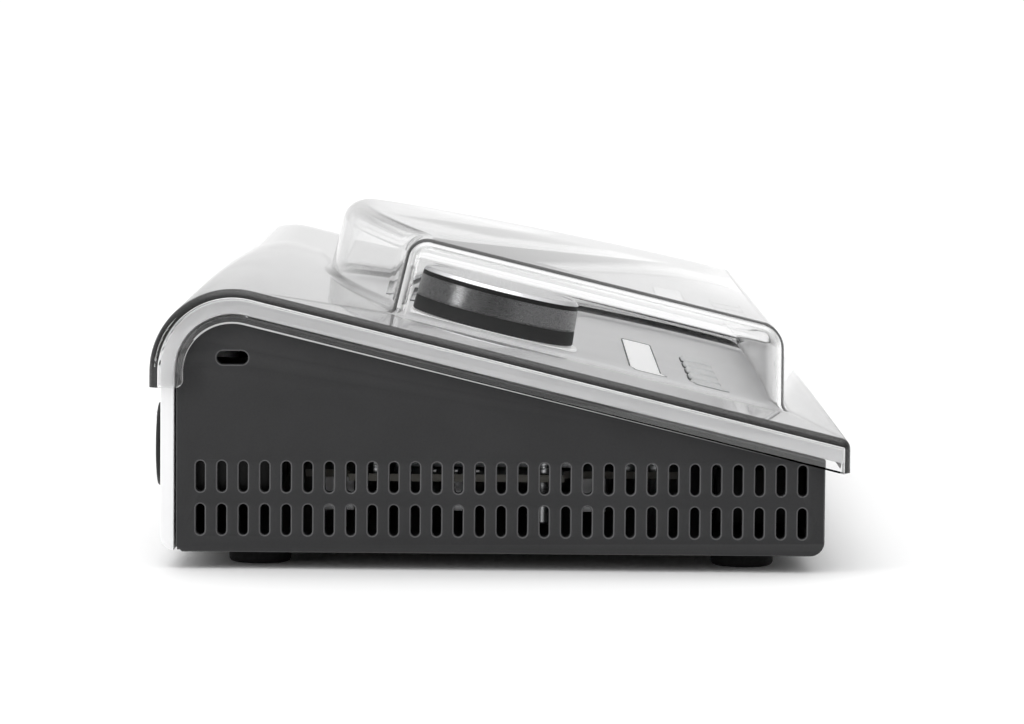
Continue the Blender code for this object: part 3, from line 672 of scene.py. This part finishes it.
def fine_connectors():
    for i, x in enumerate(COMBO_XS):
        combo_jack(i + 1, x)
    for i, x in enumerate(LINE_XS):
        small_jack("line_jack_%d" % (i + 1), lambda depth, x=x: rear_frame(x, REAR_Z, REAR_Y + depth))
    names = ("instrument_jack_1", "instrument_jack_2", "headphone_jack_1", "headphone_jack_2")
    for name, x in zip(names, FRONT_JACK_XS):
        small_jack(name, lambda depth, x=x: front_frame(x, FRONT_JACK_Z, CHASSIS_FRONT_Y - depth))

    inside = REAR_Y - WRAP_THICK - GAP
    for i, x in enumerate(DATA_XS):
        shell = plate("data_shell_%d" % (i + 1), rounded_rect(11.6, 6.0, 1.8),
                      [rounded_rect(9.2, 3.4, 1.6)], 10.6, 0.25, rear_frame(x, REAR_Z, REAR_Y - 11.0),
                      MATERIALS["steel"])
        mount(shell, "case", "steel", "data_port_%d" % (i + 1))
        tongue = plate("data_tongue_%d" % (i + 1), rounded_rect(6.4, 0.8, 0.3), [], 8.0, 0.1,
                       rear_frame(x, REAR_Z, REAR_Y - 9.5), MATERIALS["black_plastic"])
        mount(tongue, "case", "black_plastic")
    shroud = plate("optical_shroud", rounded_rect(11.0, 11.0, 1.0), [rounded_rect(9.4, 9.4, 0.6)],
                   15.0, 0.25, rear_frame(OPTICAL_X, REAR_Z, REAR_Y - 14.4), MATERIALS["black_plastic"])
    mount(shroud, "case", "black_plastic", "optical_port")
    flap = plate("optical_flap", rounded_rect(9.1, 9.1, 0.5), [], 1.0, 0.2,
                 rear_frame(OPTICAL_X, REAR_Z, REAR_Y - 1.6), MATERIALS["smoked_lens"])
    mount(flap, "case", "smoked_lens")

    profile = [(4.6, 1.2), (4.6, -9.0), (0.01, -9.0), (0.01, -12.0), (INLET_R + 1.0, -12.0),
               (INLET_R + 1.0, -WRAP_THICK - GAP), (INLET_R, -WRAP_THICK - GAP), (INLET_R, 0.7),
               (INLET_R - 0.5, 1.2)]
    shell = turned("inlet_shell", profile, rear_frame(INLET_X, REAR_Z, REAR_Y), MATERIALS["black_plastic"])
    mount(shell, "case", "black_plastic", "power_inlet")
    pin = turned("inlet_pin", [(0.01, -9.2), (1.1, -9.2), (1.1, -1.0), (0.7, -0.4), (0.01, -0.3)],
                 rear_frame(INLET_X, REAR_Z, REAR_Y), MATERIALS["steel"], 32)
    mount(pin, "case", "steel")
    bezel = plate("switch_bezel", rounded_rect(14.0, 19.0, 1.4), [rounded_rect(9.0, 13.8, 0.8)], 1.2, 0.35,
                  rear_frame(SWITCH_X, SWITCH_Z, REAR_Y + GAP), MATERIALS["black_plastic"], 3)
    mount(bezel, "case", "black_plastic", "power_switch_frame")
    well = plate("switch_well", rounded_rect(12.0, 17.0, 1.0), [rounded_rect(9.0, 13.8, 0.8)], 11.0, 0.2,
                 rear_frame(SWITCH_X, SWITCH_Z, REAR_Y - 10.7), MATERIALS["black_plastic"])
    mount(well, "case", "black_plastic")


# ---------------------------------------------------------------- inside

def can(name, x, y, radius, height, up=True):
    """Electrolytic capacitor with its rolled groove and a shallow sunk top."""
    base = BOARD_LOW + BOARD_THICK + 0.1 if up else BOARD_LOW - 0.1
    at = facing((x, y, base), (1.0, 0.0, 0.0), (0.0, 1.0 if up else -1.0, 0.0))
    profile = [(0.01, 0.0), (radius - 0.1, 0.0), (radius, 0.3), (radius, 1.0), (radius - 0.35, 1.3),
               (radius - 0.35, 1.6), (radius, 1.9), (radius, height - 0.5), (radius - 0.5, height),
               (radius - 0.9, height - 0.15), (0.01, height - 0.15)]
    obj = turned(name, profile, at, MATERIALS["aluminium"], 40)
    mount(obj, "case", "aluminium")


def block(name, x, y, width, depth, height, slot, up=True):
    """A moulded component on the board."""
    base = BOARD_LOW + BOARD_THICK + 0.1 if up else BOARD_LOW - 0.1
    at = facing((x, y, base), (1.0, 0.0, 0.0), (0.0, 1.0 if up else -1.0, 0.0))
    obj = plate(name, rounded_rect(width, depth, 0.3), [], height, 0.15, at, MATERIALS[slot])
    mount(obj, "case", slot)


def board_parts():
    """What shows behind the vents: capacitors, chips and pin headers along both board edges."""
    for side, tag in ((-1, "left"), (1, "right")):
        cans = [(131.0, -9.4, 2.6, 7.0), (122.5, -28.0, 2.8, 8.0), (122.5, -34.5, 2.8, 8.0),
                (131.0, 22.0, 2.0, 5.0), (131.0, 28.0, 2.0, 5.0)]
        for i, (x, y, radius, height) in enumerate(cans):
            can("can_%s_%d" % (tag, i + 1), side * x, y, radius, height)
        can("can_%s_low" % tag, side * 131.0, -9.0, 2.2, 9.5, up=False)
        for i in range(7):
            block("chip_%s_%d" % (tag, i + 1), side * 131.5, 3.0 + 2.4 * i, 1.6, 1.2, 0.8,
                  ("black_plastic", "steel")[i % 2])
        for i, y in enumerate((-20.0, 10.0, 36.5)):
            block("header_%s_%d" % (tag, i + 1), side * 123.5, y, 2.6, 8.0, 6.5, "black_plastic", up=False)
            block("header_pins_%s_%d" % (tag, i + 1), side * 124.6, y, 0.6, 7.0, 7.6, "steel", up=False)


def fine_screws():
    """Recessed base screws: dished head with a hexagonal socket, and the shank."""
    for i in range(4):
        name = "base_screw_%d" % (i + 1)
        low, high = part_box(name)
        centre = ((low.x + high.x) / 2, (low.y + high.y) / 2)
        radius, length = (high.x - low.x) / 2 / MM, (high.z - low.z) / MM
        at = Matrix.Translation((*centre, low.z))
        head = plate("screw_head_%d" % (i + 1), circle(radius, 40), [hexagon(1.3)], 0.9, 0.2, at,
                     MATERIALS["steel"])
        mount(head, "case", "steel", name)
        shank = turned("screw_shank_%d" % (i + 1), [(0.01, 0.75), (1.5, 0.75), (1.3, 1.2),
                                                    (1.3, length - 0.4), (0.9, length), (0.01, length)],
                       at, MATERIALS["steel"], 24)
        mount(shank, "case", "steel")


# ---------------------------------------------------------------- dust cover

def dome_outline(height):
    """Plan of the dome at a height above the panel: upright front, straight left side, swept rear."""
    r, rear_v = DOME_CORNER_R, DOME_REAR_V
    half = DOME_HALF_WIDTH - (height - COVER_TOP) * math.tan(DOME_DRAFT)
    front_v = DOME_FRONT_V + (height - COVER_TOP) * math.tan(SLOPE)
    points = arc((-half + r, front_v + r), r, 180, 270, 10)
    points += arc((half - r, front_v + r), r, 270, 360, 10)
    points += bezier((half, -52.0), (half, -20.0), (35.0, 42.4), (8.0, 44.54), 44)
    centre = (DOME_BULGE_X, DOME_BULGE_V - DOME_BULGE_R)
    end = 90 + math.degrees(math.acos((rear_v + 1.5 - centre[1]) / DOME_BULGE_R))
    points += arc(centre, DOME_BULGE_R, 86, end, 32)
    points += bezier(points[-1], (points[-1][0] - 3.5, rear_v + 0.1), (points[-1][0] - 5.0, rear_v),
                     (points[-1][0] - 9.0, rear_v), 5)[1:]
    points += arc((-half + r, rear_v - r), r, 90, 180, 10)
    return points


def dome(name, shrink, flange):
    """The dome as a block on the flange, smaller all round by shrink, its foot flared by a fillet."""
    top, edge_r = DOME_TOP - shrink, DOME_EDGE_R - shrink
    base_r = DOME_BASE_R + shrink
    levels = [(flange - 0.4, -base_r)]
    for angle in range(0, 91, 15):
        a = math.radians(angle)
        levels.append((flange - 0.01 + base_r * (1 - math.cos(a)), -base_r * (1 - math.sin(a))))
    for angle in range(0, 91, 10):
        a = math.radians(angle)
        levels.append((top - edge_r * (1 - math.sin(a)), edge_r * (1 - math.cos(a))))
    loops = [[(x, y, h) for x, y in inset(dome_outline(h), shrink + margin)] for h, margin in levels]
    return loft(name, [loops], PANEL)


def skirt_foot(depth, rear_low):
    """The underside of the skirts in side view: rounded rear foot, then along under the wrap's edge."""
    r, rear_y = COVER_FOOT_R, REAR_Y - depth
    foot = arc((rear_y + r, rear_low + r), r, 270, 180, 5)
    return foot + wrap_path(-depth, COVER_FRONT_Y + COVER_THICK, rear_low)[-2::-1]


def shell_sections(half, height, front_y, edge_r, rear_low, skirt):
    """Loops across the width of a shell that follows the wrap, rounded at its sides and front."""
    corner = (front_y + edge_r, panel_z(front_y + edge_r, height - edge_r))
    sections = []
    for angle in range(0, 91, 15):
        a = math.radians(angle)
        r = edge_r * math.sin(a)
        drop = edge_r - r
        outline = [(corner[0] - r, COVER_FRONT_LOW - (0.0 if skirt else 12.0))]
        outline += arc(corner, r, 180, 90 + math.degrees(SLOPE), 6)
        outline += wrap_path(height - drop, corner[0], rear_low)[1:]
        if skirt:
            across = max(0.0, COVER_RIM_R - edge_r * (1 - math.cos(a)))
            lift = COVER_RIM_R - math.sqrt(COVER_RIM_R ** 2 - across ** 2)
            outline += skirt_foot(skirt - lift, rear_low)
        else:
            outline.append((REAR_Y - 30.0, rear_low))
        sections.append((half - edge_r * (1 - math.cos(a)), outline))
    loops = [[(-x, y, z) for y, z in outline] for x, outline in sections]
    return loops + [[(x, y, z) for y, z in outline] for x, outline in reversed(sections)]


def fine_cover():
    """One clear moulding: flange over the wrap, skirts, rounded edges and the filleted dome."""
    loops = shell_sections(HALF_WIDTH + COVER_TOP, COVER_TOP, COVER_FRONT_Y, COVER_EDGE_R,
                           COVER_REAR_LOW, COVER_SKIRT)
    cover = loft("clear_cover", [loops], CASE, MATERIALS["clear_plastic"])
    combine(cover, dome("dome_outside", 0.0, COVER_TOP), "UNION")
    hollow = shell_sections(HALF_WIDTH + COVER_GAP, FLANGE_LOW, COVER_FRONT_Y + COVER_THICK,
                            COVER_INNER_R, 0.0, 0.0)
    combine(cover, loft("cover_hollow", [hollow], CASE), "DIFFERENCE")
    combine(cover, dome("dome_inside", COVER_THICK, FLANGE_LOW), "DIFFERENCE")
    cover.data.materials.append(MATERIALS["skirt_rim_highlight"])
    # painted highlight: down-facing faces of the skirt's lower rim take the opaque light grey, a light line where
    # the rounded rim catches light
    reach = (HALF_WIDTH + COVER_TOP - COVER_RIM_R) * MM
    for face in cover.data.polygons:
        down = max(face.normal.y * math.sin(SLOPE) - face.normal.z * math.cos(SLOPE), -face.normal.z)
        if abs(face.center.x) > reach and down > 0.2:
            face.material_index = 1
    mount(cover, "cover", "clear_plastic", "dust_cover")


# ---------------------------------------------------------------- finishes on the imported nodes

def finish_nodes():
    """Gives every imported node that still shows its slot's finish and a softened edge."""
    slots = {part["node"]: part["material_slot"] for part in frame["record"]["subparts"]}
    for name, obj in frame["nodes"].items():
        if obj.hide_render:
            continue
        obj.data.materials.clear()
        obj.data.materials.append(MATERIALS[slots[name]])
        smooth(obj.data)
        soften(obj, 0.2)


# ---------------------------------------------------------------- stage

def pale_floor():
    bpy.ops.mesh.primitive_plane_add(size=30.0, location=(0.0, 0.0, cad_bounds[0][2]))
    floor = bpy.context.object
    floor.name = "floor"
    mat, tree, shader = shader_material("pale_floor", (0.93, 0.93, 0.93), 0.6)
    vary_colour(tree, shader, noise(tree, 3.0), (0.93, 0.93, 0.93), 0.01)
    floor.data.materials.append(mat)


def surroundings():
    """Soft white light all round: greyer at a third of the way up, brightest overhead."""
    world = bpy.data.worlds.new("studio")
    bpy.context.scene.world = world
    world.use_nodes = True
    nodes, links = world.node_tree.nodes, world.node_tree.links
    background = nodes["Background"]
    direction = nodes.new("ShaderNodeTexCoord")
    split = nodes.new("ShaderNodeSeparateXYZ")
    ramp = nodes.new("ShaderNodeValToRGB")
    # place from straight down (0) through the horizon (0.5) to overhead (1), and the light's level
    stops = ((0.0, 1.0), (0.5, 1.0), (0.515, 0.88), (0.57, 0.82), (0.66, 0.6), (0.8, 0.9),
             (0.93, 1.3), (0.96, 2.2), (1.0, 2.2))
    height = nodes.new("ShaderNodeMapRange")
    height.inputs["From Min"].default_value = -1.0
    while len(ramp.color_ramp.elements) < len(stops):
        ramp.color_ramp.elements.new(0.5)
    for element, (place, value) in zip(ramp.color_ramp.elements, stops):
        element.position = place
        element.color = (value, value, value, 1.0)
    links.new(direction.outputs["Generated"], split.inputs["Vector"])
    links.new(split.outputs["Z"], height.inputs["Value"])
    links.new(height.outputs["Result"], ramp.inputs["Fac"])

    # a dark card low on the left, which keeps the dome's upright wall clear of reflections
    card = nodes.new("ShaderNodeMath")
    card.operation = "MULTIPLY"
    for axis, start, end, socket in (("X", -0.8, -0.92, 0), ("Z", 0.24, 0.14, 1)):
        reach = nodes.new("ShaderNodeMapRange")
        reach.inputs["From Min"].default_value = start
        reach.inputs["From Max"].default_value = end
        links.new(split.outputs[axis], reach.inputs["Value"])
        links.new(reach.outputs["Result"], card.inputs[socket])
    shaded = nodes.new("ShaderNodeMix")
    shaded.data_type = "RGBA"
    shaded.inputs["B"].default_value = (0.05, 0.05, 0.05, 1.0)
    links.new(card.outputs["Value"], shaded.inputs["Factor"])
    links.new(ramp.outputs["Color"], shaded.inputs["A"])
    links.new(shaded.outputs["Result"], background.inputs["Color"])
    background.inputs["Strength"].default_value = 1.06


def softbox(name, at, width, height, power):
    """An upright rectangular light that faces the object."""
    light = bpy.data.lights.new(name, "AREA")
    light.shape, light.size, light.size_y, light.energy = "RECTANGLE", width, height, power
    obj = bpy.data.objects.new(name, light)
    obj.location = at
    obj.rotation_euler = (Vector((0.0, 0.0, 0.05)) - Vector(at)).to_track_quat("-Z", "Y").to_euler()
    bpy.context.scene.collection.objects.link(obj)


def camera():
    """Low side view from the left, with a long lens."""
    distance, height = 1013.74, 125.13
    pitch, roll = math.radians(4.640), math.radians(0.461)
    forward = Vector((math.cos(pitch), 0.0, -math.sin(pitch)))
    right = Vector((0.0, -1.0, 0.0))
    up = Vector((math.sin(pitch), 0.0, math.cos(pitch)))
    side = right * math.cos(roll) + up * math.sin(roll)
    top = up * math.cos(roll) - right * math.sin(roll)
    data = bpy.data.cameras.new("camera")
    data.lens, data.sensor_width = 161.75, 36.0
    data.clip_end = 60.0
    obj = bpy.data.objects.new("camera", data)
    turn = Matrix((side, top, -forward)).transposed().to_4x4()
    place = Vector((-HALF_WIDTH - distance, -2.12, height)) * MM
    obj.matrix_world = CASE @ Matrix.Translation(place) @ turn
    bpy.context.scene.collection.objects.link(obj)
    bpy.context.scene.camera = obj


def main():
    bpy.context.scene.view_settings.view_transform = "Standard"
    fine_wrap()
    fine_side(-1)
    fine_side(1)
    fine_feet()
    fine_knob()
    gaskets()
    fine_connectors()
    fine_screws()
    board_parts()
    fine_cover()
    finish_nodes()
    pale_floor()
    surroundings()
    softbox("side_softbox", (-0.9, 1.25, 0.35), 0.3, 1.0, 7.0)
    camera()


main()
